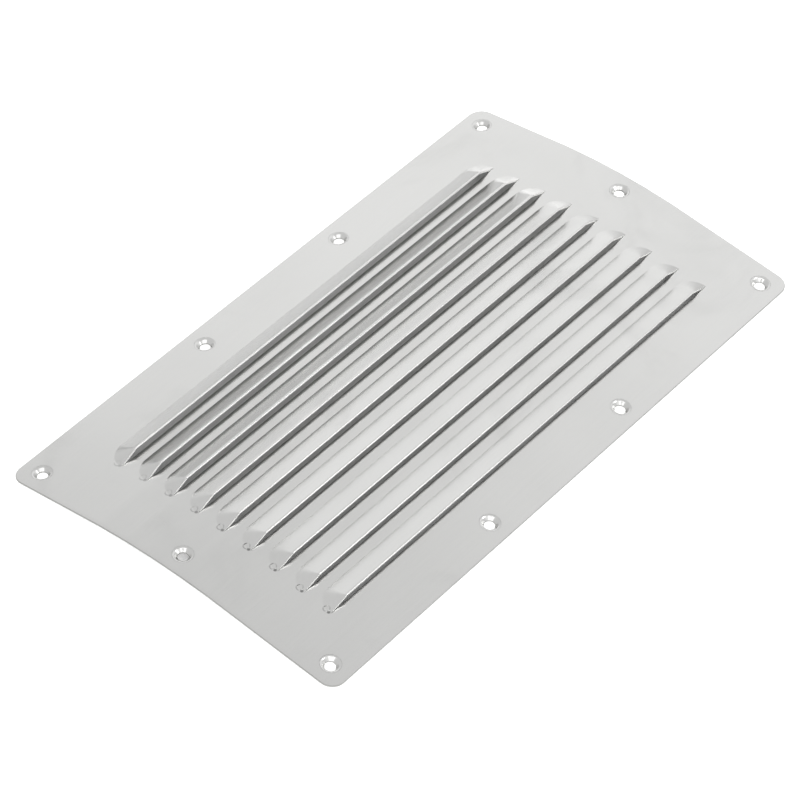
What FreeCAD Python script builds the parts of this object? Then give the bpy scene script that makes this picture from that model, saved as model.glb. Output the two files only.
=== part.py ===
import FreeCAD, Part
import math
import os

from FreeCAD import Placement, Rotation, Vector

os.makedirs("parts", exist_ok=True)

# A vent panel pressed from one thin stainless sheet, in millimetres and degrees.
# X runs along the louvres, Y across them, and +Z is the side that the louvres are raised to.
# The louvres open towards -Y. Widths across the panel are measured along the bowed sheet.

# Blank
SHEET_LENGTH = 350.0
SHEET_WIDTH = 200.0
SHEET_THICKNESS = 1.0
CORNER_RADIUS = 7.5

# Louvres. The slit at -Y is the longest, and each one after it is a little shorter.
LOUVRE_COUNT = 9
LOUVRE_PITCH = 16.5
SLIT_LENGTH = 286.0
SLIT_TAPER = 0.9
FIELD_OFFSET = 0.5

# One louvre's hood, from the line of its rear fold to its cut lip
HOOD_DEPTH = 10.5
HOOD_RISE = 3.8
LIP_SETBACK = 0.4
CREST_FROM_LIP = 4.2
CROWN_SLOPE = 5.0
CREST_RADIUS = 9.0
FOLD_RADIUS = 1.5

# The bow that the pressing leaves in the sheet, middle up, as gentle bends in the middle lands
BOW_ANGLE = 13.8
BENT_LAND_COUNT = 5
BEND_WIDTH = 4.0

# Screw holes, each at the bottom of a dimple for a countersunk head
HOLE_DIAMETER = 5.3
HOLE_INSET = 11.0
MIDDLE_HOLE_SPACING = 100.0
DIMPLE_DIAMETER = 8.8
DIMPLE_DEPTH = 1.7
DIMPLE_WALL = 0.7
DIMPLE_BEVEL = 0.4

X_AXIS = Vector(1, 0, 0)
Z_AXIS = Vector(0, 0, 1)
TOLERANCE = 1e-6


def step(y, z, heading, length, turn):
    """The place and heading after a run of this length that turns evenly by this angle, in radians."""
    if abs(turn) < TOLERANCE:
        return y + length * math.cos(heading), z + length * math.sin(heading), heading
    radius = length / turn
    after = heading + turn
    y += radius * (math.sin(after) - math.sin(heading))
    z -= radius * (math.cos(after) - math.cos(heading))
    return y, z, after


def beside(y, z, heading, offset):
    """The point this far to the left of a path in the Y-Z plane."""
    return Vector(0, y - offset * math.sin(heading), z + offset * math.cos(heading))


def side_of(start, runs, offset, spline_arcs=False):
    """Lines and arcs that keep this distance to the left of a path."""
    edges = []
    y, z, heading = start
    for length, turn in runs:
        begin = beside(y, z, heading, offset)
        middle = beside(*step(y, z, heading, length / 2, turn / 2), offset)
        y, z, heading = step(y, z, heading, length, turn)
        end = beside(y, z, heading, offset)
        if abs(turn) < TOLERANCE:
            edges.append(Part.makeLine(begin, end))
        else:
            arc = Part.Arc(begin, middle, end).toShape()
            edges.append(arc.toNurbs().Edges[0] if spline_arcs else arc)
    return edges


def section(start, runs, spline_arcs=False):
    """The cut face of the sheet along a path through the middle of its thickness."""
    half = SHEET_THICKNESS / 2
    left = side_of(start, runs, half, spline_arcs)
    right = side_of(start, runs, -half, spline_arcs)
    y, z, heading = start
    cap_in = Part.makeLine(beside(y, z, heading, -half), beside(y, z, heading, half))
    for length, turn in runs:
        y, z, heading = step(y, z, heading, length, turn)
    cap_out = Part.makeLine(beside(y, z, heading, half), beside(y, z, heading, -half))
    outline = [cap_in] + left + [cap_out] + right[::-1]
    return Part.Face(Part.Wire(Part.__sortEdges__(outline)))


def fillet_size(radius, turn, before, after):
    """A corner's radius and tangent length, with the radius kept inside the two walls beside it."""
    half_tangent = math.tan(abs(turn) / 2)
    radius = min(radius, 0.95 * min(before, after) / half_tangent)
    return radius, radius * half_tangent


# Places across the sheet, from the edge at -Y

land_width = LOUVRE_PITCH - HOOD_DEPTH
field_width = (LOUVRE_COUNT - 1) * LOUVRE_PITCH + HOOD_DEPTH
first_slit = (SHEET_WIDTH - field_width) / 2 + FIELD_OFFSET
slits = [first_slit + k * LOUVRE_PITCH for k in range(LOUVRE_COUNT)]
middle_land = (LOUVRE_COUNT - 1) // 2
bent = [k for k in range(LOUVRE_COUNT - 1) if abs(k - middle_land) <= BENT_LAND_COUNT // 2]
bend_turn = -math.radians(BOW_ANGLE) / max(len(bent), 1)

sheet_runs = []
reached = 0.0
for k in bent:
    bend_start = slits[k] + HOOD_DEPTH + (land_width - BEND_WIDTH) / 2
    sheet_runs.append((bend_start - reached, 0.0))
    sheet_runs.append((BEND_WIDTH, bend_turn))
    reached = bend_start + BEND_WIDTH
sheet_runs.append((SHEET_WIDTH - reached, 0.0))


def across(distance, heading=0.0):
    """The place and heading on the bowed sheet's middle surface, this far from the edge at -Y."""
    place = (0.0, 0.0, heading)
    for length, turn in sheet_runs:
        share = min(max(distance, 0.0), length) / length
        place = step(*place, length * share, turn * share)
        distance -= length
    return place


# Both long edges are at the same height, which sets the slope that the sheet starts with
far_y, far_z, _ = across(SHEET_WIDTH)
first_slope = -math.atan2(far_z, far_y)


def seat(distance, x=0.0):
    """The frame of the sheet's middle surface at this place: local Y across it and local Z out of it."""
    y, z, heading = across(distance, first_slope)
    return Placement(Vector(x, y, z), Rotation(X_AXIS, math.degrees(heading)))


# Path of a hood through the middle of the sheet, from its rear fold up, over the crest and out to the lip

crown_slope = math.radians(CROWN_SLOPE)
crest_back = LIP_SETBACK + CREST_FROM_LIP
crest_height = HOOD_RISE - CREST_FROM_LIP * math.tan(crown_slope)
ramp_run = HOOD_DEPTH - crest_back
ramp_slope = math.atan2(crest_height, ramp_run)
ramp_length = math.hypot(ramp_run, crest_height)
crown_length = CREST_FROM_LIP / math.cos(crown_slope)
crest_turn = ramp_slope - crown_slope

fold_radius, fold_tangent = fillet_size(FOLD_RADIUS, ramp_slope, ramp_length / 3, land_width)
crest_radius, crest_tangent = fillet_size(
    CREST_RADIUS, crest_turn, ramp_length - fold_tangent, crown_length
)
hood_reach = HOOD_DEPTH + fold_tangent
hood_runs = [
    (fold_radius * ramp_slope, -ramp_slope),
    (ramp_length - fold_tangent - crest_tangent, 0.0),
    (crest_radius * crest_turn, crest_turn),
    (crown_length - crest_tangent, 0.0),
]
hood_start = (hood_reach, 0.0, math.pi)


def hood(half_straight):
    """One raised hood: a straight channel, closed at each end by a quarter turn of the same section.

    The section that is turned has its arcs as splines, which keeps the facets of the ends few.
    """
    left = Vector(-half_straight, 0, 0)
    right = Vector(half_straight, 0, 0)
    straight = section(hood_start, hood_runs).translated(left).extrude(right - left)
    turned = section(hood_start, hood_runs, spline_arcs=True)
    left_end = turned.translated(left).revolve(left, Z_AXIS, 90)
    right_end = turned.translated(right).revolve(right, Z_AXIS, -90)
    return straight.fuse([left_end, right_end]).removeSplitter()


def window(half_straight):
    """The stretch of flat sheet that one hood was lanced and raised from, as a cutter."""
    tip = half_straight + hood_reach
    bulge = hood_reach * math.sqrt(0.5)
    corners = {
        "left_tip": Vector(-tip, 0, 0),
        "left_middle": Vector(-half_straight - bulge, bulge, 0),
        "left_rear": Vector(-half_straight, hood_reach, 0),
        "right_rear": Vector(half_straight, hood_reach, 0),
        "right_middle": Vector(half_straight + bulge, bulge, 0),
        "right_tip": Vector(tip, 0, 0),
    }
    outline = Part.Wire(
        [
            Part.Arc(corners["left_tip"], corners["left_middle"], corners["left_rear"]).toShape(),
            Part.makeLine(corners["left_rear"], corners["right_rear"]),
            Part.Arc(corners["right_rear"], corners["right_middle"], corners["right_tip"]).toShape(),
            Part.makeLine(corners["right_tip"], corners["left_tip"]),
        ]
    )
    cutter = Part.Face(outline).extrude(Vector(0, 0, 2 * SHEET_THICKNESS))
    return cutter.translated(Vector(0, 0, -SHEET_THICKNESS))


def placed(shape, frame):
    """A copy of a shape, moved from its own frame to a seat on the sheet."""
    moved = shape.copy()
    moved.Placement = frame.multiply(moved.Placement)
    return moved


# Screw holes: two rows along the long edges, and one hole in the middle of each short edge

hole_radius = HOLE_DIAMETER / 2
rim_radius = DIMPLE_DIAMETER / 2
cone_drop = math.atan2(DIMPLE_DEPTH, rim_radius - hole_radius)
cone_length = math.hypot(DIMPLE_DEPTH, rim_radius - hole_radius)
rim_bevel = min(DIMPLE_BEVEL, cone_length / 2)
dimple_reach = rim_radius + rim_bevel + SHEET_THICKNESS / 4

end_x = SHEET_LENGTH / 2 - HOLE_INSET
row_x = [-end_x, -MIDDLE_HOLE_SPACING / 2, MIDDLE_HOLE_SPACING / 2, end_x]
hole_places = [(x, across_at) for across_at in (HOLE_INSET, SHEET_WIDTH - HOLE_INSET) for x in row_x]
hole_places += [(-end_x, SHEET_WIDTH / 2), (end_x, SHEET_WIDTH / 2)]


def dimple():
    """A round dimple pressed down into the sheet, with a straight-walled hole at its bottom."""
    top = SHEET_THICKNESS / 2
    under = -SHEET_THICKNESS / 2
    bevel_end = Vector(
        rim_radius - rim_bevel * math.cos(cone_drop), 0, top - rim_bevel * math.sin(cone_drop)
    )
    under_corner = rim_radius + SHEET_THICKNESS * math.tan(cone_drop / 2)
    points = [
        bevel_end,
        Vector(hole_radius, 0, top - DIMPLE_DEPTH),
        Vector(hole_radius, 0, top - DIMPLE_DEPTH - DIMPLE_WALL),
        Vector(under_corner, 0, under),
        Vector(dimple_reach, 0, under),
        Vector(dimple_reach, 0, top),
        Vector(rim_radius + rim_bevel, 0, top),
        bevel_end,
    ]
    return Part.Face(Part.makePolygon(points)).revolve(Vector(0, 0, 0), Z_AXIS, 360)


def blank():
    """The bowed sheet with its rounded corners, before it is lanced and dimpled."""
    start = (0.0, 0.0, first_slope)
    sheet = section(start, sheet_runs).extrude(Vector(SHEET_LENGTH, 0, 0))
    sheet.translate(Vector(-SHEET_LENGTH / 2, 0, 0))
    corner_edges = [
        edge
        for edge in sheet.Edges
        if abs(edge.Length - SHEET_THICKNESS) < TOLERANCE
        and abs(abs(edge.CenterOfMass.x) - SHEET_LENGTH / 2) < TOLERANCE
    ]
    return sheet.makeFillet(CORNER_RADIUS, corner_edges)


def build_panel():
    """The whole panel as one solid, resting on the floor with the middle of its footprint at the origin."""
    one_dimple = dimple()
    one_drill = Part.makeCylinder(
        dimple_reach, 2 * SHEET_THICKNESS, Vector(0, 0, -SHEET_THICKNESS), Z_AXIS
    )
    cutters = []
    formed = []
    for k, slit in enumerate(slits):
        half_straight = (SLIT_LENGTH - k * SLIT_TAPER) / 2 - hood_reach
        cutters.append(placed(window(half_straight), seat(slit)))
        formed.append(placed(hood(half_straight), seat(slit)))
    for x, distance in hole_places:
        cutters.append(placed(one_drill, seat(distance, x)))
        formed.append(placed(one_dimple, seat(distance, x)))
    panel = blank().cut(cutters).fuse(formed).removeSplitter()
    solid = panel.Solids[0]
    box = solid.optimalBoundingBox(False, False)
    shift = Vector(-(box.XMin + box.XMax) / 2, -(box.YMin + box.YMax) / 2, -box.ZMin)
    solid.translate(shift)
    return solid, len(panel.Solids), shift


panel, solid_count, shift = build_panel()
panel.exportStep("parts/louvred_panel.step")

box = panel.optimalBoundingBox(False, False)
print(f"solids {solid_count}, valid {panel.isValid()}, volume {panel.Volume:.1f} mm3")
print(f"size {box.XLength:.3f} x {box.YLength:.3f} x {box.ZLength:.3f} mm, faces {len(panel.Faces)}")
print(f"rear slope {math.degrees(ramp_slope):.2f}, fold {fold_radius:.2f}, crest {crest_radius:.2f}")
print(f"first slope {math.degrees(first_slope):.3f}, hood reach {hood_reach:.3f}, shift {shift.z:.3f}")
wall_middle = Vector(0, 0, SHEET_THICKNESS / 2 - DIMPLE_DEPTH - DIMPLE_WALL / 2)
for x, distance in hole_places:
    frame = seat(distance, x)
    place = frame.multVec(wall_middle) + shift
    axis = frame.Rotation.multVec(Z_AXIS)
    print(f"hole wall at {place.x:.1f}, {place.y:.4f}, {place.z:.4f}, axis {axis.y:.5f} {axis.z:.5f}")
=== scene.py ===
import logging
from collections.abc import Callable
from dataclasses import dataclass, field
from enum import Enum
from math import atan2, cos, hypot, pi, radians, sin, tan

import bpy
from bpy.types import Material, MeshPolygon, Node, NodeSocket, NodeTree, Object
from mathutils import Matrix, Vector


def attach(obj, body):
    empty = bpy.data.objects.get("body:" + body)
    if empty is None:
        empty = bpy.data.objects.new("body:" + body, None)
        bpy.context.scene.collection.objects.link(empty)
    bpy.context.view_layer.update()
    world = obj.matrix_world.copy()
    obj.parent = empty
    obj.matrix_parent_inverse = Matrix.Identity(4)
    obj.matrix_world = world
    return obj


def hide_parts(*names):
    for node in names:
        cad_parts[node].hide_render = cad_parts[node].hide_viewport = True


# A louvred vent panel pressed from one thin stainless sheet, on a pale studio floor.
# The sheet is modelled flat in millimetres, with X along the louvres, Y as the distance from its
# near edge and Z as the height over its middle surface. It is then bowed into the row frame, in metres.

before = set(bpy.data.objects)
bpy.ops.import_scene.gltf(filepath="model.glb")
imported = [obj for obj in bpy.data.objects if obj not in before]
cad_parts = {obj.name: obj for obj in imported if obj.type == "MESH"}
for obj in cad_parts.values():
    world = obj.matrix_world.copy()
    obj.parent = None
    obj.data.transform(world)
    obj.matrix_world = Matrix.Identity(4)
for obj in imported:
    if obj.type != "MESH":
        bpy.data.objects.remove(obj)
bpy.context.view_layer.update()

log = logging.getLogger("louvred_panel")
logging.basicConfig(level=logging.INFO, format="%(name)s: %(message)s")

PIECE_NAME = "pressed_sheet"
METRES = 0.001
WELD = 0.004
CUT_TILT = 0.35
FACING = 0.99
BLANK_COLOUR = (0.42, 0.42, 0.41)

Pair = tuple[float, float]
Triple = tuple[float, float, float]


class Finish(Enum):
    """The finishes of the sheet, by their place in its list of materials."""

    ROLLED_FACE = 0
    SHEARED_EDGE = 1
    BLANKED_EDGE = 2


def deselect_all() -> None:
    """Leaves no object selected and none active."""
    bpy.ops.object.select_all(action="DESELECT")
    bpy.context.view_layer.objects.active = None


def activate(piece: Object) -> None:
    """Selects one object alone and makes it active.

    Args:
        piece: The object that the next operators act on.
    """
    deselect_all()
    piece.select_set(True)
    bpy.context.view_layer.objects.active = piece


def set_mode(mode: str) -> None:
    """Switches between object mode and edit mode."""
    bpy.ops.object.mode_set(mode=mode)


def select_vertices(piece: Object, wanted: Callable[[Vector], bool]) -> None:
    """Selects the vertices at the places that a test accepts, in edit mode.

    Args:
        piece: The object in edit mode.
        wanted: The test of one place.
    """
    bpy.ops.mesh.select_mode(type="VERT")
    bpy.ops.mesh.select_all(action="DESELECT")
    set_mode("OBJECT")
    for vertex in piece.data.vertices:
        vertex.select = wanted(vertex.co)
    set_mode("EDIT")


def select_edges(
    piece: Object,
    wanted: Callable[[Vector, Vector], bool],
    among: set[tuple[int, int]] | None = None,
) -> None:
    """Selects the edges whose two ends a test accepts, in edit mode.

    Args:
        piece: The object in edit mode.
        wanted: The test of the two ends' places.
        among: The keys of the edges to choose from, or None for all of them.
    """
    bpy.ops.mesh.select_mode(type="EDGE")
    bpy.ops.mesh.select_all(action="DESELECT")
    set_mode("OBJECT")
    places = [vertex.co for vertex in piece.data.vertices]
    for edge in piece.data.edges:
        chosen = among is None or edge.key in among
        edge.select = chosen and wanted(places[edge.vertices[0]], places[edge.vertices[1]])
    set_mode("EDIT")


def open_edge_keys(piece: Object) -> set[tuple[int, int]]:
    """Finds the edges that have a face on one side at most, in edit mode.

    Args:
        piece: The object in edit mode.

    Returns:
        The keys of those edges.
    """
    set_mode("OBJECT")
    faces_on = {edge.key: 0 for edge in piece.data.edges}
    for face in piece.data.polygons:
        for key in face.edge_keys:
            faces_on[key] += 1
    set_mode("EDIT")
    return {key for key, count in faces_on.items() if count < 2}


def near(a: float, b: float) -> bool:
    """Tells whether two lengths on the flat sheet are the same."""
    return abs(a - b) < WELD


def new_plane(name: str, size: float) -> Object:
    """Adds a square of this size at the origin."""
    deselect_all()
    bpy.ops.mesh.primitive_plane_add(size=size, location=(0, 0, 0))
    plane = bpy.context.active_object
    plane.name = name
    return plane


def with_finishes(piece: Object) -> Object:
    """Gives a new piece the sheet's materials."""
    for finish in Finish:
        piece.data.materials.append(material_of(finish))
    return piece


def material_of(finish: Finish) -> Material:
    """The material of a finish, made when it is first asked for."""
    name = finish.name.lower()
    return bpy.data.materials.get(name) or bpy.data.materials.new(name)


def give_finish(piece: Object, finish: Finish, wanted: Callable[[MeshPolygon], bool]) -> None:
    """Gives a finish to the faces that a test accepts.

    Args:
        piece: The piece, in object mode.
        finish: The finish.
        wanted: The test of one face.
    """
    for face in piece.data.polygons:
        if wanted(face):
            face.material_index = finish.value


def new_strip(name: str, half_length: float, slit: float, rows: list[Pair]) -> Object:
    """Adds a plane as one long strip along a slit, and extrudes it from row to row.

    Args:
        name: The name of the strip.
        half_length: Half its length.
        slit: The distance of the slit from the sheet's near edge.
        rows: The distance from the slit and the height of each row.

    Returns:
        The strip, in edit mode.
    """
    strip = with_finishes(new_plane(name, 2.0))
    for vertex in strip.data.vertices:
        back, height = rows[0] if vertex.co.y < 0 else rows[1]
        vertex.co = (vertex.co.x * half_length, slit + back, height)
    set_mode("EDIT")
    back, height = rows[1]
    select_vertices(strip, lambda co: near(co.y, slit + back) and near(co.z, height))
    for next_back, next_height in rows[2:]:
        move = (0, next_back - back, next_height - height)
        bpy.ops.mesh.extrude_region_move(TRANSFORM_OT_translate={"value": move})
        back, height = next_back, next_height
    return strip


def copy_at(piece: Object, name: str, move: Vector) -> Object:
    """Makes a copy of a piece with its own mesh, moved in that mesh.

    Args:
        piece: The piece to copy.
        name: The name of the copy.
        move: How far the copy's vertices move.

    Returns:
        The new object.
    """
    mesh = piece.data.copy()
    mesh.transform(Matrix.Translation(move))
    copied = bpy.data.objects.new(name, mesh)
    bpy.context.scene.collection.objects.link(copied)
    return copied


def join(pieces: list[Object], name: str) -> Object:
    """Joins pieces into the first one.

    Args:
        pieces: The pieces to join.
        name: The name of the joined piece.

    Returns:
        The joined object.
    """
    deselect_all()
    for piece in pieces:
        piece.select_set(True)
    bpy.context.view_layer.objects.active = pieces[0]
    bpy.ops.object.join()
    pieces[0].name = name
    pieces[0].data.name = name
    return pieces[0]


@dataclass
class Bow:
    """The bow that the pressing leaves in the sheet: gentle bends in the middle lands."""

    starts: list[float]
    width: float = 4.0
    angle: float = radians(13.8)
    sheet_width: float = 200.0
    rest_height: float = 0.973
    steps: int = 4
    first_slope: float = 0.0
    middle: float = 0.0

    def __post_init__(self) -> None:
        """Finds the slope at which both long edges are level, and the middle of the footprint."""
        far, height, _ = self.across(self.sheet_width)
        self.first_slope = -atan2(height, far)
        self.middle = self.across(self.sheet_width)[0] / 2

    def lines(self) -> list[float]:
        """The distances at which the sheet needs a line of vertices to bend."""
        shares = [k / self.steps for k in range(self.steps + 1)]
        return [start + self.width * share for start in self.starts for share in shares]

    def across(self, distance: float) -> Triple:
        """Follows the bowed middle surface from the near edge.

        Args:
            distance: How far to go, along the sheet.

        Returns:
            The place across, the height and the slope there.
        """
        turn = -self.angle / len(self.starts)
        radius = self.width / turn
        far, height, slope, reached = 0.0, 0.0, self.first_slope, 0.0
        for start in self.starts:
            if distance <= start:
                break
            far += (start - reached) * cos(slope)
            height += (start - reached) * sin(slope)
            after = slope + turn * min(1.0, (distance - start) / self.width)
            far += radius * (sin(after) - sin(slope))
            height -= radius * (cos(after) - cos(slope))
            slope = after
            reached = start + self.width
        rest = max(distance - reached, 0.0) if distance >= reached else 0.0
        return far + rest * cos(slope), height + rest * sin(slope), slope

    def place(self, flat: Vector) -> Vector:
        """Moves a place of the flat model to the bowed panel.

        Args:
            flat: The place on the flat sheet, in millimetres.

        Returns:
            The place in the row frame, in metres.
        """
        far, height, slope = self.across(flat.y)
        bowed = (
            flat.x,
            far - self.middle - flat.z * sin(slope),
            height + self.rest_height + flat.z * cos(slope),
        )
        return Vector(bowed) * METRES


@dataclass
class Hood:
    """One raised hood: a folded channel whose ends turn down a quarter circle to the sheet."""

    depth: float = 10.5
    rise: float = 3.8
    lip_setback: float = 0.1
    crest_from_lip: float = 0.75
    crown_slope: float = radians(6.0)
    crest_radius: float = 4.5
    fold_radius: float = 2.2
    half_thickness: float = 0.5
    lip_round: float = 0.35
    lip_steps: int = 4
    fold_steps: int = 5
    crest_steps: int = 6
    end_steps: int = 16
    columns: int = 24
    reach: float = 0.0
    path: list[Triple] = field(default_factory=list)

    def __post_init__(self) -> None:
        """Works out the middle path, from fold to lip: distance from the slit, height, slope."""
        crest_height = self.rise - self.crest_from_lip * tan(self.crown_slope)
        ramp_run = self.depth - self.lip_setback - self.crest_from_lip
        ramp_slope = atan2(crest_height, ramp_run)
        crest_turn = ramp_slope - self.crown_slope
        fold_tangent = self.fold_radius * tan(ramp_slope / 2)
        crest_tangent = self.crest_radius * tan(crest_turn / 2)
        ramp_length = hypot(ramp_run, crest_height) - fold_tangent - crest_tangent
        self.reach = self.depth + fold_tangent
        self.path = [(self.reach, 0.0, 0.0)]
        for k in range(1, self.fold_steps + 1):
            slope = ramp_slope * k / self.fold_steps
            back = self.reach - self.fold_radius * sin(slope)
            self.path.append((back, self.fold_radius * (1 - cos(slope)), slope))
        back, height, _ = self.path[-1]
        back -= ramp_length * cos(ramp_slope)
        height += ramp_length * sin(ramp_slope)
        self.path.append((back, height, ramp_slope))
        for k in range(1, self.crest_steps + 1):
            slope = ramp_slope - crest_turn * k / self.crest_steps
            forward = self.crest_radius * (sin(ramp_slope) - sin(slope))
            upward = self.crest_radius * (cos(slope) - cos(ramp_slope))
            self.path.append((back - forward, height + upward, slope))
        self.path.append((self.lip_setback, self.rise, self.crown_slope))

    def side(self, offset: float) -> list[Pair]:
        """Follows one face of the sheet from the rear fold to the rounded corner of the lip.

        Args:
            offset: The height of the face over the middle of the sheet, below zero for the underside.

        Returns:
            The distances from the slit and the heights.
        """
        points = [(b + offset * sin(slope), h + offset * cos(slope)) for b, h, slope in self.path]
        corner_back, corner_height = points.pop()
        forward = Vector((-cos(self.crown_slope), sin(self.crown_slope)))
        inward = Vector((sin(self.crown_slope), cos(self.crown_slope))) * (-1 if offset > 0 else 1)
        corner = Vector((corner_back, corner_height))
        for turn in (radians(90.0 * k / self.lip_steps) for k in range(self.lip_steps + 1)):
            place = corner - forward * self.lip_round * (1 - sin(turn))
            place += inward * self.lip_round * (1 - cos(turn))
            points.append((place.x, place.y))
        return points

    def section(self) -> list[Pair]:
        """The outline of the cut through a hood: over its top, down its lip and back underneath."""
        return self.side(self.half_thickness) + self.side(-self.half_thickness)[::-1]

    def build(self, name: str, slit: float, half_straight: float) -> Object:
        """Models a hood: its outline is extruded from one long strip, and its two ends are spun.

        Args:
            name: The name of the hood.
            slit: The distance of its slit from the sheet's near edge.
            half_straight: Half the length of its straight part.

        Returns:
            The hood with both its faces, open along its rear fold.
        """
        strip = new_strip(name, half_straight, slit, self.section())
        select_edges(strip, lambda a, b: abs(a.x - b.x) > half_straight)
        bpy.ops.mesh.subdivide(number_cuts=self.columns - 1)
        for side, turn in ((-half_straight, -pi / 2), (half_straight, pi / 2)):
            select_edges(strip, lambda a, b: near(a.x, side) and near(b.x, side))
            bpy.ops.mesh.spin(steps=self.end_steps, angle=turn, center=(side, slit, 0), axis=(0, 0, 1))
        bpy.ops.mesh.select_all(action="SELECT")
        bpy.ops.mesh.remove_doubles(threshold=WELD)
        for side in (-1, 1):
            select_vertices(strip, lambda co: near(co.y, slit) and co.x * side > half_straight)
            bpy.ops.mesh.edge_face_add()
        set_mode("OBJECT")
        lip = self.lip_setback + self.half_thickness / 2
        give_finish(strip, Finish.SHEARED_EDGE, lambda face: self.is_cut(face, slit, half_straight, lip))
        return strip

    def is_cut(self, face: MeshPolygon, slit: float, half_straight: float, lip: float) -> bool:
        """Tells whether a face belongs to the cut lip or to one of the two cut ends.

        Args:
            face: The face.
            slit: The distance of the slit from the sheet's near edge.
            half_straight: Half the length of the hood's straight part.
            lip: A distance from the slit that only the faces of the lip stay within.

        Returns:
            True on a cut face.
        """
        beyond = max(abs(face.center.x) - half_straight, 0.0)
        from_slit = hypot(face.center.y - slit, beyond)
        on_lip = from_slit < lip and abs(face.normal.z) < CUT_TILT
        on_end = abs(face.normal.y) > FACING and abs(face.center.y - slit) < WELD
        return on_lip or on_end


@dataclass
class Land:
    """The cut edge of the flat sheet in front of a hood, with the round that the shears leave on it."""

    half_thickness: float = 0.5
    top_round: float = 0.3
    round_steps: int = 4
    taper: float = 3.0

    def build(self, name: str, slit: float, half_slit: float) -> Object:
        """Models the wall of a slit as a strip, extruded from row to row, that tapers to both tips.

        Args:
            name: The name of the wall.
            slit: The distance of the slit from the sheet's near edge.
            half_slit: Half the length of the slit.

        Returns:
            The wall, open along the top and the underside of the sheet.
        """
        top, under, size = self.half_thickness, -self.half_thickness, self.top_round
        turns = [radians(90.0 * k / self.round_steps) for k in range(self.round_steps + 1)]
        rows = [(size * (sin(turn) - 1), top - size * (1 - cos(turn))) for turn in turns]
        rows.append((0.0, under))
        half = half_slit - self.taper
        wall = new_strip(name, half, slit, rows)
        for side in (-1, 1):
            select_vertices(wall, lambda co: near(co.x, side * half) and near(co.z, under))
            for move in ((side * self.taper, 0, 0), (0, 0, top - under)):
                bpy.ops.mesh.extrude_vertices_move(TRANSFORM_OT_translate={"value": move})
            select_vertices(wall, lambda co: co.x * side > half - WELD)
            bpy.ops.mesh.edge_face_add()
        set_mode("OBJECT")
        give_finish(wall, Finish.SHEARED_EDGE, lambda face: abs(face.normal.z) < CUT_TILT)
        return wall


@dataclass
class Dimple:
    """A screw hole at the bottom of a round dimple."""

    hole_radius: float = 2.65
    rim_radius: float = 4.4
    rim_tangent: float = 0.8
    depth: float = 1.7
    wall: float = 0.7
    reach: float = 5.05
    half_thickness: float = 0.5
    burr: float = 0.06
    bore_tilt: float = 0.6
    round_steps: int = 6
    sides: int = 48

    def rings(self) -> list[Pair]:
        """Works out the dimple's rings.

        Returns:
            Radius and height of each ring: down its top face, through the hole, and back underneath.
        """
        top, under = self.half_thickness, -self.half_thickness
        drop = atan2(self.depth, self.rim_radius - self.hole_radius)
        round_radius = self.rim_tangent / tan(drop / 2)
        start = self.rim_radius + self.rim_tangent
        rings = [(self.reach, top), (start, top)]
        for k in range(1, self.round_steps + 1):
            angle = drop * k / self.round_steps
            rings.append((start - round_radius * sin(angle), top - round_radius * (1 - cos(angle))))
        hole_top = top - self.depth
        hole_bottom = hole_top - self.wall
        rings.append((self.hole_radius + self.burr * cos(drop), hole_top + self.burr * sin(drop)))
        rings.append((self.hole_radius, hole_top - self.burr))
        rings.append((self.hole_radius, hole_bottom + self.burr))
        rings.append((self.hole_radius + self.burr, hole_bottom + self.burr / 2))
        under_corner = self.rim_radius + 2 * self.half_thickness * tan(drop / 2)
        rings.append((under_corner - self.rim_tangent / 2, under - self.rim_tangent / 3))
        rings.append((under_corner, under))
        rings.append((self.reach, under))
        return rings

    def build(self) -> Object:
        """Models one dimple at the origin: a circle is extruded and scaled from ring to ring.

        Returns:
            The dimple, open where it meets the flat sheet.
        """
        rings = self.rings()
        radius, height = rings[0]
        deselect_all()
        bpy.ops.mesh.primitive_circle_add(
            vertices=self.sides, radius=radius, fill_type="NOTHING", location=(0, 0, 0)
        )
        dimple = with_finishes(bpy.context.active_object)
        for vertex in dimple.data.vertices:
            vertex.co.z = height
        set_mode("EDIT")
        bpy.ops.mesh.select_mode(type="EDGE")
        bpy.ops.mesh.select_all(action="SELECT")
        for next_radius, next_height in rings[1:]:
            move = (0, 0, next_height - height)
            bpy.ops.mesh.extrude_edges_move(TRANSFORM_OT_translate={"value": move})
            scale = next_radius / radius
            bpy.ops.transform.resize(value=(scale, scale, 1), center_override=(0, 0, next_height))
            radius, height = next_radius, next_height
        set_mode("OBJECT")
        give_finish(dimple, Finish.BLANKED_EDGE, self.is_bore)
        return dimple

    def is_bore(self, face: MeshPolygon) -> bool:
        """Tells whether a face belongs to the wall of the screw hole."""
        from_middle = hypot(face.center.x, face.center.y)
        return from_middle < self.hole_radius + self.burr and abs(face.normal.z) < self.bore_tilt


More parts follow.
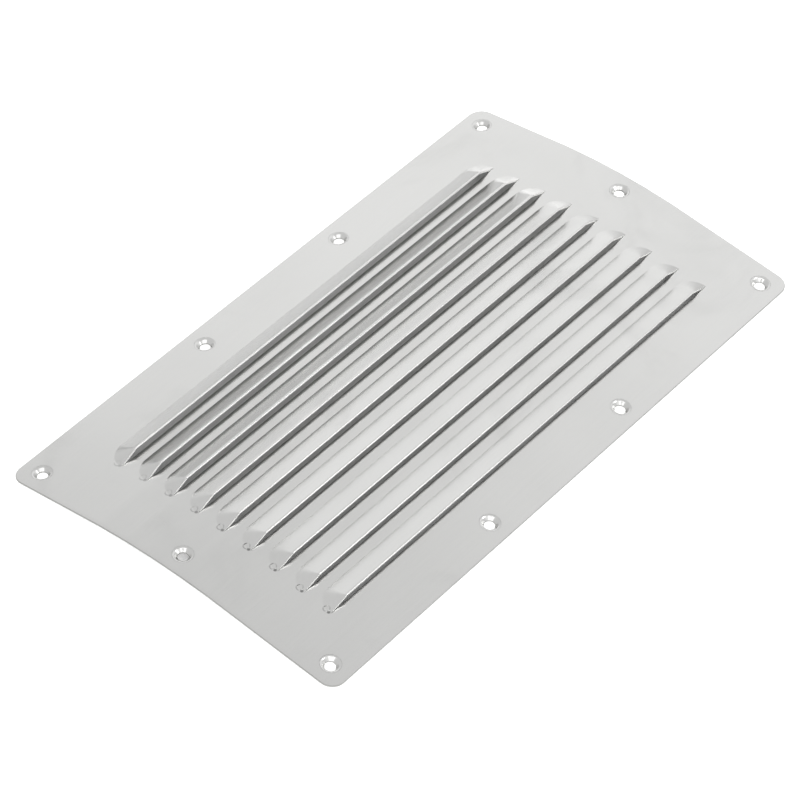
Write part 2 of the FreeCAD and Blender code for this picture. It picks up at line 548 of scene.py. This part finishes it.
@dataclass
class Panel:
    """The whole panel: a blank with rounded corners, nine hoods and ten dimpled screw holes."""

    length: float = 350.0
    width: float = 200.0
    thickness: float = 1.0
    corner_radius: float = 7.5
    corner_steps: int = 10
    louvre_count: int = 9
    louvre_pitch: float = 16.5
    slit_length: float = 286.0
    slit_taper: float = 0.9
    field_offset: float = 0.5
    hole_inset: float = 11.0
    middle_hole_spacing: float = 100.0
    bent_land_count: int = 5
    edge_round: float = 0.3
    smooth_angle: float = radians(35.0)
    hood: Hood = field(default_factory=Hood)
    land: Land = field(default_factory=Land)
    dimple: Dimple = field(default_factory=Dimple)

    def slits(self) -> list[float]:
        """The distances of the slits from the near edge."""
        field_width = (self.louvre_count - 1) * self.louvre_pitch + self.hood.depth
        first = (self.width - field_width) / 2 + self.field_offset
        return [first + k * self.louvre_pitch for k in range(self.louvre_count)]

    def half_slit(self, k: int) -> float:
        """Half the length of the slit with this number, from the near edge."""
        return (self.slit_length - k * self.slit_taper) / 2

    def bow(self) -> Bow:
        """The bow of this sheet, with its bends in the middle lands."""
        land_width = self.louvre_pitch - self.hood.depth
        middle = (self.louvre_count - 1) // 2
        inset = self.hood.depth + (land_width - Bow.width) / 2
        slits = self.slits()
        starts = [
            slits[k] + inset
            for k in range(self.louvre_count - 1)
            if abs(k - middle) <= self.bent_land_count // 2
        ]
        return Bow(starts, sheet_width=self.width)

    def hole_places(self) -> list[Vector]:
        """The middles of the screw holes on the flat sheet."""
        end_x = self.length / 2 - self.hole_inset
        row = (-end_x, -self.middle_hole_spacing / 2, self.middle_hole_spacing / 2, end_x)
        rows = (self.hole_inset, self.width - self.hole_inset)
        places = [Vector((x, y, 0)) for y in rows for x in row]
        return places + [Vector((x, self.width / 2, 0)) for x in (-end_x, end_x)]

    def rim(self) -> Object:
        """Models the cut rim of the blank: a plate is given round corners, extruded and opened.

        Returns:
            The rim, open on its top and its underside.
        """
        rim = with_finishes(new_plane("rim", 1.0))
        top = self.thickness / 2
        for vertex in rim.data.vertices:
            vertex.co = (vertex.co.x * self.length, (vertex.co.y + 0.5) * self.width, -top)
        set_mode("EDIT")
        bpy.ops.mesh.select_all(action="SELECT")
        bpy.ops.mesh.bevel(
            offset=self.corner_radius, segments=self.corner_steps, profile=0.5, affect="VERTICES"
        )
        bpy.ops.mesh.select_all(action="SELECT")
        bpy.ops.mesh.extrude_region_move(TRANSFORM_OT_translate={"value": (0, 0, self.thickness)})
        select_edges(rim, lambda a, b: near(a.z, b.z))
        bpy.ops.mesh.bevel(offset=self.edge_round, segments=3, profile=0.5, affect="EDGES")
        bpy.ops.mesh.select_mode(type="FACE")
        bpy.ops.mesh.select_all(action="DESELECT")
        set_mode("OBJECT")
        for face in rim.data.polygons:
            face.select = abs(face.normal.z) > FACING
        set_mode("EDIT")
        bpy.ops.mesh.delete(type="ONLY_FACE")
        set_mode("OBJECT")
        give_finish(rim, Finish.BLANKED_EDGE, lambda face: True)
        return rim

    def fill_flats(self, sheet: Object) -> None:
        """Fills the flat top and the flat underside between all the outlines at their heights.

        Args:
            sheet: The joined rim, hoods, slit walls and dimples.
        """
        set_mode("EDIT")
        bpy.ops.mesh.select_all(action="SELECT")
        bpy.ops.mesh.remove_doubles(threshold=WELD)
        for height in (self.thickness / 2, -self.thickness / 2):
            open_edges = open_edge_keys(sheet)
            select_edges(sheet, lambda a, b: near(a.z, height) and near(b.z, height), open_edges)
            bpy.ops.mesh.fill(use_beauty=True)
        set_mode("OBJECT")

    def bend_lines(self, sheet: Object, bow: Bow) -> None:
        """Cuts the flat sheet along the lines at which it bends.

        Args:
            sheet: The flat sheet.
            bow: The bow that it gets.
        """
        activate(sheet)
        set_mode("EDIT")
        for distance in bow.lines():
            bpy.ops.mesh.select_all(action="SELECT")
            bpy.ops.mesh.bisect(plane_co=(0, distance, 0), plane_no=(0, 1, 0), threshold=WELD)
        bpy.ops.mesh.select_all(action="SELECT")
        bpy.ops.mesh.normals_make_consistent(inside=False)
        set_mode("OBJECT")

    def smooth(self, sheet: Object) -> None:
        """Smooths the shading across the folds and bends, and keeps the flats flat.

        Args:
            sheet: The bowed sheet.
        """
        activate(sheet)
        bpy.ops.object.shade_smooth_by_angle(angle=self.smooth_angle)
        weighted = sheet.modifiers.new("flat_shading", "WEIGHTED_NORMAL")
        weighted.mode = "FACE_AREA"
        weighted.weight = 100
        weighted.keep_sharp = True
        bpy.ops.object.modifier_apply(modifier=weighted.name)

    def build(self, bow: Bow) -> Object:
        """Models the panel flat, and bows it.

        Args:
            bow: The bow that the flat sheet gets.

        Returns:
            The finished sheet in the row frame.
        """
        pieces = [self.rim()]
        for k, slit in enumerate(self.slits()):
            half_slit = self.half_slit(k)
            pieces.append(self.hood.build(f"hood_{k + 1}", slit, half_slit - self.hood.reach))
            pieces.append(self.land.build(f"slit_{k + 1}", slit, half_slit))
            log.info("louvre %d is modelled, %.1f mm long", k + 1, 2 * half_slit)
        dimple = self.dimple.build()
        pieces += [copy_at(dimple, f"dimple_{k}", place) for k, place in enumerate(self.hole_places())]
        bpy.data.objects.remove(dimple)
        log.info("%d screw holes are modelled", len(self.hole_places()))
        sheet = join(pieces, PIECE_NAME)
        self.fill_flats(sheet)
        self.bend_lines(sheet, bow)
        for vertex in sheet.data.vertices:
            vertex.co = bow.place(vertex.co)
        self.smooth(sheet)
        log.info("%s has %d faces", sheet.name, len(sheet.data.polygons))
        return sheet


def new_group(
    name: str, inputs: dict[str, float | None], *outputs: str
) -> tuple[NodeTree, Node, Node]:
    """Makes an empty shader node group that puts out values.

    Args:
        name: The name of the group.
        inputs: Its inputs with their values; an input without a value is a vector.
        outputs: The names of its outputs.

    Returns:
        The group, its input node and its output node.
    """
    tree = bpy.data.node_groups.new(name, "ShaderNodeTree")
    for socket_name, value in inputs.items():
        kind = "NodeSocketVector" if value is None else "NodeSocketFloat"
        socket = tree.interface.new_socket(name=socket_name, in_out="INPUT", socket_type=kind)
        if value is not None:
            socket.default_value = value
    for output in outputs:
        tree.interface.new_socket(name=output, in_out="OUTPUT", socket_type="NodeSocketFloat")
    return tree, tree.nodes.new("NodeGroupInput"), tree.nodes.new("NodeGroupOutput")


def feed(tree: NodeTree, socket: NodeSocket, value: NodeSocket | float) -> None:
    """Gives an input its value, or links it to the source of that value."""
    if isinstance(value, NodeSocket):
        tree.links.new(value, socket)
    else:
        socket.default_value = value


def math_node(
    tree: NodeTree, operation: str, first: NodeSocket | float, second: NodeSocket | float = 0.0
) -> NodeSocket:
    """Adds one math node.

    Args:
        tree: The node tree to add it to.
        operation: The name of the operation.
        first: One value or its source.
        second: The other value or its source.

    Returns:
        The result.
    """
    node = tree.nodes.new("ShaderNodeMath")
    node.operation = operation
    for socket, value in zip(node.inputs, (first, second)):
        feed(tree, socket, value)
    return node.outputs[0]


def product(tree: NodeTree, *levels: NodeSocket | float) -> NodeSocket:
    """Multiplies levels with each other."""
    total = levels[0]
    for level in levels[1:]:
        total = math_node(tree, "MULTIPLY", total, level)
    return total


def mapped(
    tree: NodeTree,
    value: NodeSocket,
    before: tuple[NodeSocket | float, NodeSocket | float] = (0.0, 1.0),
    after: Pair = (0.0, 1.0),
    curve: str = "LINEAR",
) -> NodeSocket:
    """Adds one node that maps a value from one range to another.

    Args:
        tree: The node tree to add it to.
        value: The value.
        before: The range that it comes from.
        after: The range that it goes to.
        curve: The kind of the curve between them.

    Returns:
        The mapped value.
    """
    node = tree.nodes.new("ShaderNodeMapRange")
    node.interpolation_type = curve
    names = ("Value", "From Min", "From Max", "To Min", "To Max")
    for name, setting in zip(names, (value, *before, *after)):
        feed(tree, node.inputs[name], setting)
    return node.outputs["Result"]


def noise(tree: NodeTree, settings: dict[str, NodeSocket | float]) -> NodeSocket:
    """Adds one noise texture with these inputs."""
    node = tree.nodes.new("ShaderNodeTexNoise")
    for name, value in settings.items():
        feed(tree, node.inputs[name], value)
    return node.outputs[0]


def grain_group() -> NodeTree:
    """Makes the streaks that rolls or shears draw out in one direction.

    Returns:
        A group with the inputs Vector, Along, Across and Through and the output Streaks.
    """
    inputs = {"Vector": None, "Along": 50.0, "Across": 2000.0, "Through": 50.0}
    tree, start, end = new_group("drawn_grain", inputs, "Streaks")
    scale = tree.nodes.new("ShaderNodeCombineXYZ")
    for axis, name in zip("XYZ", ("Along", "Across", "Through")):
        tree.links.new(start.outputs[name], scale.inputs[axis])
    stretch = tree.nodes.new("ShaderNodeVectorMath")
    stretch.operation = "MULTIPLY"
    tree.links.new(start.outputs["Vector"], stretch.inputs[0])
    tree.links.new(scale.outputs["Vector"], stretch.inputs[1])
    settings = {"Vector": stretch.outputs["Vector"], "Scale": 1.0, "Detail": 3.0}
    tree.links.new(noise(tree, settings), end.inputs["Streaks"])
    return tree


def smudge_group() -> NodeTree:
    """Makes the soft marks that handling leaves on bare metal.

    Returns:
        A group with the inputs Vector, Scale, From and To and the output Marks.
    """
    inputs = {"Vector": None, "Scale": 20.0, "From": 0.5, "To": 0.75}
    tree, start, end = new_group("handling_smudges", inputs, "Marks")
    settings = {"Vector": start.outputs["Vector"], "Scale": start.outputs["Scale"]}
    settings |= {"Detail": 4.0, "Roughness": 0.55, "Distortion": 0.8}
    window = (start.outputs["From"], start.outputs["To"])
    marks = mapped(tree, noise(tree, settings), window, curve="SMOOTHSTEP")
    tree.links.new(marks, end.inputs["Marks"])
    return tree


def wave_group() -> NodeTree:
    """Makes the slow waves that stay in a thin sheet after pressing.

    Returns:
        A group with the inputs Vector and Scale and the output Height.
    """
    tree, start, end = new_group("sheet_waves", {"Vector": None, "Scale": 20.0}, "Height")
    settings = {"Vector": start.outputs["Vector"], "Scale": start.outputs["Scale"], "Detail": 1.0}
    tree.links.new(noise(tree, settings), end.inputs["Height"])
    return tree


def disc(
    tree: NodeTree,
    from_tip: NodeSocket,
    from_slit: NodeSocket,
    place: Pair,
    radii: Pair,
) -> NodeSocket:
    """Adds nodes for one soft round spot near the tip of each slit.

    Args:
        tree: The node tree to add them to.
        from_tip: The distance along the slit from its tip.
        from_slit: The distance from the slit.
        place: Where the spot's middle is, in millimetres from the tip and from the slit.
        radii: Where its edge begins and ends, in millimetres.

    Returns:
        A value of 1 in the spot and 0 around it.
    """
    away_x = math_node(tree, "SUBTRACT", from_tip, place[0] * METRES)
    away_y = math_node(tree, "SUBTRACT", from_slit, place[1] * METRES)
    squares = math_node(tree, "ADD", product(tree, away_x, away_x), product(tree, away_y, away_y))
    away = math_node(tree, "SQRT", squares)
    edge = (radii[0] * METRES, radii[1] * METRES)
    return mapped(tree, away, edge, (1.0, 0.0), "SMOOTHSTEP")


@dataclass(frozen=True)
class PunchMark:
    """The small round dent that the punch leaves at one end of each louvre, with painted shade in a ring
    on the dent's slope and a small spot of darker colour beside the slit's tip.
    """

    dent_place: Pair = (0.9, 3.1)
    dent_radii: Pair = (1.0, 2.1)
    # The level to which the colour darkens in the ring on each dent's slope: painted shade.
    crease_painted_shade: float = 0.72
    # A small spot beside each slit's tip has darker colour: its place, its soft edge and the level that
    # the colour falls to.
    tip_spot_place: Pair = (0.1, 1.2)
    tip_spot_radii: Pair = (0.4, 1.2)
    tip_spot_level: float = 0.35
    far_share: float = 0.15
    bowed_pitch_share: float = 0.9958

    def group(self, panel: Panel) -> NodeTree:
        """Makes the node group of the marks: the dents' heights, and a colour level with painted shade
        in each dent's ring and a darker spot beside each slit's tip.

        Args:
            panel: The panel whose louvres they belong to.

        Returns:
            A group with the input Vector and the outputs Height and Shade; Shade is the colour level
            that carries the painted shade.
        """
        tree, start, end = new_group("punch_dents_and_painted_shade", {"Vector": None}, "Height", "Shade")
        number, from_tip, from_slit = self.louvre_places(tree, start.outputs["Vector"], panel)
        fading = ((panel.louvre_count - 1) // 2 - 1, panel.louvre_count)
        fade = mapped(tree, number, fading, (1.0, self.far_share))
        on_field = math_node(tree, "LESS_THAN", number, panel.louvre_count - 0.5)
        on_field = product(tree, on_field, math_node(tree, "GREATER_THAN", number, -0.5))
        share = product(tree, fade, on_field)
        dent = disc(tree, from_tip, from_slit, self.dent_place, self.dent_radii)
        tip_spot = disc(tree, from_tip, from_slit, self.tip_spot_place, self.tip_spot_radii)
        # Painted shade: the colour darkens in a ring on the dent's slope, where the dent's shade falls.
        crease = product(tree, dent, math_node(tree, "SUBTRACT", 1.0, dent))
        crease = product(tree, crease, 4.0 * (1.0 - self.crease_painted_shade))
        # The spot beside the slit's tip is darkened in the colour.
        tip_spot = product(tree, tip_spot, 1.0 - self.tip_spot_level)
        dark = product(tree, math_node(tree, "MAXIMUM", crease, tip_spot), share)
        tree.links.new(product(tree, dent, share), end.inputs["Height"])
        tree.links.new(math_node(tree, "SUBTRACT", 1.0, dark), end.inputs["Shade"])
        return tree

    def louvre_places(
        self, tree: NodeTree, place: NodeSocket, panel: Panel
    ) -> tuple[NodeSocket, NodeSocket, NodeSocket]:
        """Adds nodes that tell where a place is, as seen from the slit before it.

        Args:
            tree: The node tree to add them to.
            place: The place on the panel.
            panel: The panel whose louvres are numbered from its near edge.

        Returns:
            The number of the louvre, and the distances from its left tip and from its slit.
        """
        middle = (panel.louvre_count - 1) // 2
        pitch = panel.louvre_pitch * METRES * self.bowed_pitch_share
        first_slit = (panel.slits()[middle] - panel.width / 2) * METRES - middle * pitch
        split = tree.nodes.new("ShaderNodeSeparateXYZ")
        tree.links.new(place, split.inputs[0])
        rows = math_node(tree, "SUBTRACT", split.outputs["Y"], first_slit)
        from_slit = math_node(tree, "MODULO", rows, pitch)
        number = math_node(tree, "FLOOR", math_node(tree, "DIVIDE", rows, pitch))
        taper = product(tree, number, panel.slit_taper / 2 * METRES)
        from_tip = math_node(tree, "ADD", split.outputs["X"], panel.slit_length / 2 * METRES)
        return number, math_node(tree, "SUBTRACT", from_tip, taper), from_slit


@dataclass
class MetalBench:
    """The nodes of one metal material: its coordinates, its shader, and links between them."""

    material: Material
    effects: dict[str, NodeTree]

    def __post_init__(self) -> None:
        """Finds the shader, makes it metal and adds the object's coordinates."""
        self.material.use_nodes = True
        self.tree = self.material.node_tree
        self.nodes, self.links = self.tree.nodes, self.tree.links
        self.shader = self.nodes["Principled BSDF"]
        self.shader.inputs["Metallic"].default_value = 1.0
        self.place = self.nodes.new("ShaderNodeTexCoord").outputs["Object"]

    def effect(self, name: str, *values: float, output: str | int = 0) -> NodeSocket:
        """Adds one effect at the object's coordinates.

        Args:
            name: The name of its group.
            values: The values of its inputs, in their order.
            output: The name or number of the output that is wanted.

        Returns:
            That output.
        """
        node = self.nodes.new("ShaderNodeGroup")
        node.node_tree = self.effects[name]
        self.links.new(self.place, node.inputs["Vector"])
        for socket, value in zip(node.inputs[1:], values):
            socket.default_value = value
        return node.outputs[output]

    def scaled(self, value: NodeSocket, low: float, high: float) -> NodeSocket:
        """Maps a value between zero and one to the range from low to high."""
        return mapped(self.tree, value, after=(low, high))

    def tint(self, colour: tuple[float, ...], level: NodeSocket) -> None:
        """Gives the shader a colour whose level varies.

        Args:
            colour: The colour at level one.
            level: The level over the surface.
        """
        scale = self.nodes.new("ShaderNodeVectorMath")
        scale.operation = "SCALE"
        scale.inputs[0].default_value = colour[:3]
        self.links.new(level, scale.inputs["Scale"])
        self.links.new(scale.outputs["Vector"], self.shader.inputs["Base Color"])

    def bumps(self, heights: list[tuple[NodeSocket, float]]) -> None:
        """Gives the shader a chain of bumps.

        Args:
            heights: Each height between zero and one, with its depth in metres.
        """
        last = None
        for height, depth in heights:
            bump = self.nodes.new("ShaderNodeBump")
            bump.inputs["Distance"].default_value = depth
            self.links.new(height, bump.inputs["Height"])
            if last is not None:
                self.links.new(last, bump.inputs["Normal"])
            last = bump.outputs["Normal"]
        self.links.new(last, self.shader.inputs["Normal"])


@dataclass(frozen=True)
class RolledSteel:
    """Satin stainless sheet as it leaves the rolls, with its grain along the louvres."""

    colour: Triple = (0.72, 0.72, 0.71)
    roughness: Pair = (0.2, 0.25)
    grain_scale: Triple = (40.0, 1600.0, 1600.0)
    grain_shade: Pair = (0.98, 1.025)
    grain_depth: float = 0.000002
    wave_scale: float = 14.0
    wave_depth: float = 0.00022
    smudge_scale: float = 17.0
    smudge_window: Pair = (0.52, 0.74)
    smudge_shade: float = 0.95
    smudge_roughness: float = 0.05
    haze_scale: float = 5.0
    haze_window: Pair = (0.35, 0.65)
    haze_shade: float = 0.965
    mark_depth: float = 0.0004

    def apply(self, bench: MetalBench) -> None:
        """Builds the finish on the bench of its material."""
        grain = bench.effect("drawn_grain", *self.grain_scale)
        smudges = bench.effect("handling_smudges", self.smudge_scale, *self.smudge_window)
        haze = bench.effect("handling_smudges", self.haze_scale, *self.haze_window)
        waves = bench.effect("sheet_waves", self.wave_scale)
        marks = bench.effect("punch_dents_and_painted_shade", output="Height")
        # The colour level takes in the punch marks' painted shade, along with the smudges, haze and
        # grain.
        shade = product(
            bench.tree,
            bench.scaled(smudges, 1.0, self.smudge_shade),
            bench.scaled(haze, 1.0, self.haze_shade),
            bench.scaled(grain, *self.grain_shade),
            bench.effect("punch_dents_and_painted_shade", output="Shade"),
        )
        bench.tint(self.colour, shade)
        rough = bench.scaled(grain, *self.roughness)
        rough = math_node(bench.tree, "ADD", rough, bench.scaled(smudges, 0.0, self.smudge_roughness))
        bench.links.new(rough, bench.shader.inputs["Roughness"])
        bench.bumps([(waves, self.wave_depth), (marks, self.mark_depth), (grain, self.grain_depth)])


@dataclass(frozen=True)
class ShearedEdge:
    """The bright cut edge of the sheet, with the upright scores that the shears leave."""

    colour: Triple = (0.88, 0.88, 0.87)
    roughness: Pair = (0.38, 0.52)
    score_scale: Triple = (1500.0, 1500.0, 90.0)
    score_shade: Pair = (0.88, 1.08)
    score_depth: float = 0.00001
    dull_scale: float = 120.0
    dull_window: Pair = (0.45, 0.7)
    dull_shade: float = 0.9

    def apply(self, bench: MetalBench) -> None:
        """Builds the finish on the bench of its material."""
        scores = bench.effect("drawn_grain", *self.score_scale)
        dull = bench.effect("handling_smudges", self.dull_scale, *self.dull_window)
        shade = bench.scaled(dull, 1.0, self.dull_shade)
        bench.tint(self.colour, product(bench.tree, shade, bench.scaled(scores, *self.score_shade)))
        bench.links.new(bench.scaled(scores, *self.roughness), bench.shader.inputs["Roughness"])
        bench.bumps([(scores, self.score_depth)])


@dataclass(frozen=True)
class Softbox:
    """A soft rectangular lamp with a plain radiance, which the camera doesn't see."""

    name: str
    place: Triple
    size: Pair
    radiance: float
    layers: tuple[float, ...] = (1.0,)
    target: Triple = (0.0, 0.0, 0.0)
    layer_gap: float = 0.01

    def add(self) -> None:
        """Adds the lamp, turned to its target, in layers of growing size that soften its border."""
        away = Vector(self.place) - Vector(self.target)
        for k, scale in enumerate(self.layers):
            width, height = self.size[0] * scale, self.size[1] * scale
            data = bpy.data.lights.new(f"{self.name}_{k}", "AREA")
            data.shape = "RECTANGLE"
            data.size, data.size_y = width, height
            data.energy = self.radiance / len(self.layers) * pi * width * height
            lamp = bpy.data.objects.new(data.name, data)
            lamp.location = Vector(self.place) + away.normalized() * self.layer_gap * k
            lamp.rotation_euler = away.to_track_quat("Z", "Y").to_euler()
            lamp.visible_camera = False
            bpy.context.scene.collection.objects.link(lamp)
        log.info("lamp %s is set", self.name)


@dataclass(frozen=True)
class DarkCard:
    """A dark card, given by its near and far corners, that the metal reflects."""

    name: str
    near: tuple[Triple, Triple]
    far: tuple[Triple, Triple]
    colour: float


@dataclass
class Studio:
    """The pale floor, the soft light and the camera."""

    camera_place: Triple = (-1.017824, -0.785481, 1.293342)
    camera_right: Triple = (0.638378, -0.769097, 0.031045)
    camera_down: Triple = (-0.535088, -0.472413, -0.700362)
    camera_forward: Triple = (0.553312, 0.430484, -0.713112)
    lens: float = 170.353
    world_level: float = 0.76
    floor_colour: float = 0.8
    # The floor's seen colour and glow are low under the louvres and high around the panel: a painted
    # shadow under the louvres.
    seen_colour: Pair = (0.85, 0.98)
    glow: Pair = (0.0, 0.5)
    # The half sizes of the painted shadow's rectangle and the widths of its soft borders.
    shaded_half: Pair = (0.168, 0.084)
    shaded_edge: Pair = (0.021, 0.006)
    cards: tuple[DarkCard, ...] = (
        DarkCard(
            "far_card",
            ((-0.1, 0.24, 0.001), (0.29, 0.24, 0.001)),
            ((0.08, 0.52, 0.085), (0.52, 0.52, 0.085)),
            0.4,
        ),
        DarkCard(
            "camera_card",
            ((-1.198, -0.642, 1.1), (-0.922, -0.998, 1.1)),
            ((-1.198, -0.642, 1.6), (-0.922, -0.998, 1.6)),
            0.03,
        ),
    )
    lamps: tuple[Softbox, ...] = (
        Softbox(
            "ceiling_right",
            (0.95, 0.5, 0.6),
            (1.1, 2.2),
            0.28,
            (0.7, 0.85, 1.0, 1.15, 1.3),
            target=(0.95, 0.5, 0.0),
        ),
        Softbox("wall_far", (1.68, 1.78, 0.4), (1.5, 0.8), 0.36, (0.5, 0.75, 1.0, 1.25, 1.5)),
        Softbox("key_near", (0.5, -0.8, 0.75), (0.4, 0.4), 3.2),
        Softbox("wall_near", (0.35, -1.2, 0.8), (1.9, 0.7), 0.4, (0.6, 1.0)),
        Softbox("wall_behind", (-1.4, -1.1, 1.8), (2.8, 1.8), 1.0),
    )

    def add_card(self, card: DarkCard) -> None:
        """Adds a dark card, which only reflections show.

        Args:
            card: Its corners and colour.
        """
        board = new_plane(card.name, 1.0)
        for vertex, corner in zip(board.data.vertices, (*card.near, *card.far)):
            vertex.co = corner
        material = bpy.data.materials.new(card.name)
        material.use_nodes = True
        shader = material.node_tree.nodes["Principled BSDF"]
        shader.inputs["Base Color"].default_value = (*[card.colour] * 3, 1.0)
        shader.inputs["Roughness"].default_value = 0.9
        board.data.materials.append(material)
        board.visible_camera = False
        board.visible_diffuse = False
        board.visible_shadow = False

    def add_camera(self) -> None:
        """Adds the camera at the photograph's viewing angle."""
        data = bpy.data.cameras.new("camera")
        data.lens = self.lens
        data.sensor_width = 36.0
        data.clip_start = 0.05
        data.clip_end = 50.0
        camera = bpy.data.objects.new("camera", data)
        bpy.context.scene.collection.objects.link(camera)
        down, forward = Vector(self.camera_down), Vector(self.camera_forward)
        axes = Matrix((self.camera_right, -down, -forward)).transposed()
        camera.matrix_world = Matrix.Translation(self.camera_place) @ axes.to_4x4()
        bpy.context.scene.camera = camera

    def add_floor(self) -> None:
        """Adds the pale floor, which looks white, keeps the panel's shadow and has a painted shadow
        under the louvres.
        """
        floor = new_plane("floor", 12.0)
        material = bpy.data.materials.new("pale_floor")
        material.use_nodes = True
        nodes, links = material.node_tree.nodes, material.node_tree.links
        nodes.clear()
        output = nodes.new("ShaderNodeOutputMaterial")
        plain = nodes.new("ShaderNodeBsdfDiffuse")
        plain.inputs["Color"].default_value = (*[self.floor_colour] * 3, 1.0)
        shade = nodes.new("ShaderNodeBsdfDiffuse")
        glow = nodes.new("ShaderNodeEmission")
        outside_painted_shadow = self.outside_painted_shadow(material.node_tree)
        sockets = (shade.inputs["Color"], glow.inputs["Strength"])
        # Under the louvres the seen colour and the glow are lowered: a painted shadow on the floor.
        for limits, socket in zip((self.seen_colour, self.glow), sockets):
            links.new(mapped(material.node_tree, outside_painted_shadow, after=limits), socket)
        seen = nodes.new("ShaderNodeAddShader")
        links.new(shade.outputs[0], seen.inputs[0])
        links.new(glow.outputs[0], seen.inputs[1])
        mix = nodes.new("ShaderNodeMixShader")
        links.new(self.seen_directly(material.node_tree), mix.inputs["Fac"])
        links.new(plain.outputs[0], mix.inputs[1])
        links.new(seen.outputs[0], mix.inputs[2])
        links.new(mix.outputs[0], output.inputs["Surface"])
        floor.data.materials.append(material)

    def outside_painted_shadow(self, tree: NodeTree) -> NodeSocket:
        """Adds nodes that mark out the painted shadow under the louvres from the floor around them.

        Args:
            tree: The node tree to add them to.

        Returns:
            A value of 0 in the painted shadow under the louvres and 1 around the panel.
        """
        place = tree.nodes.new("ShaderNodeTexCoord")
        split = tree.nodes.new("ShaderNodeSeparateXYZ")
        tree.links.new(place.outputs["Object"], split.inputs[0])
        beyond = []
        for axis, half, edge in zip("XY", self.shaded_half, self.shaded_edge):
            from_middle = math_node(tree, "ABSOLUTE", split.outputs[axis])
            beyond.append(mapped(tree, from_middle, (half - edge, half)))
        return math_node(tree, "MAXIMUM", *beyond)

    def seen_directly(self, tree: NodeTree) -> NodeSocket:
        """Adds nodes that tell rays that show the background from rays that light the object.

        Args:
            tree: The node tree to add them to.

        Returns:
            A value of 1 for camera, glossy and transmission rays, and 0 for the others.
        """
        path = tree.nodes.new("ShaderNodeLightPath")
        total = path.outputs["Is Camera Ray"]
        for name in ("Is Glossy Ray", "Is Transmission Ray"):
            total = math_node(tree, "ADD", total, path.outputs[name])
        return mapped(tree, total)

    def add_world(self) -> None:
        """Sets a pale, even world at a plain level."""
        world = bpy.data.worlds.new("studio")
        bpy.context.scene.world = world
        world.use_nodes = True
        lighting = world.node_tree.nodes["Background"]
        lighting.inputs["Color"].default_value = (1.0, 1.0, 1.0, 1.0)
        lighting.inputs["Strength"].default_value = self.world_level

    def build(self) -> None:
        """Adds the camera, the floor and the light."""
        self.add_camera()
        self.add_floor()
        for card in self.cards:
            self.add_card(card)
        self.add_world()
        for lamp in self.lamps:
            lamp.add()
        bpy.context.scene.view_settings.view_transform = "Standard"


def main() -> None:
    """Builds the panel, dresses it and sets the studio around it."""
    panel = Panel()
    sheet = panel.build(panel.bow())
    groups = (grain_group(), smudge_group(), wave_group(), PunchMark().group(panel))
    effects = {group.name: group for group in groups}
    for finish, look in zip(Finish, (RolledSteel(), ShearedEdge(), ShearedEdge(BLANK_COLOUR))):
        look.apply(MetalBench(material_of(finish), effects))
    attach(sheet, "root")
    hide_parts("louvred_panel")
    Studio().build()


if __name__ == "__main__":
    main()
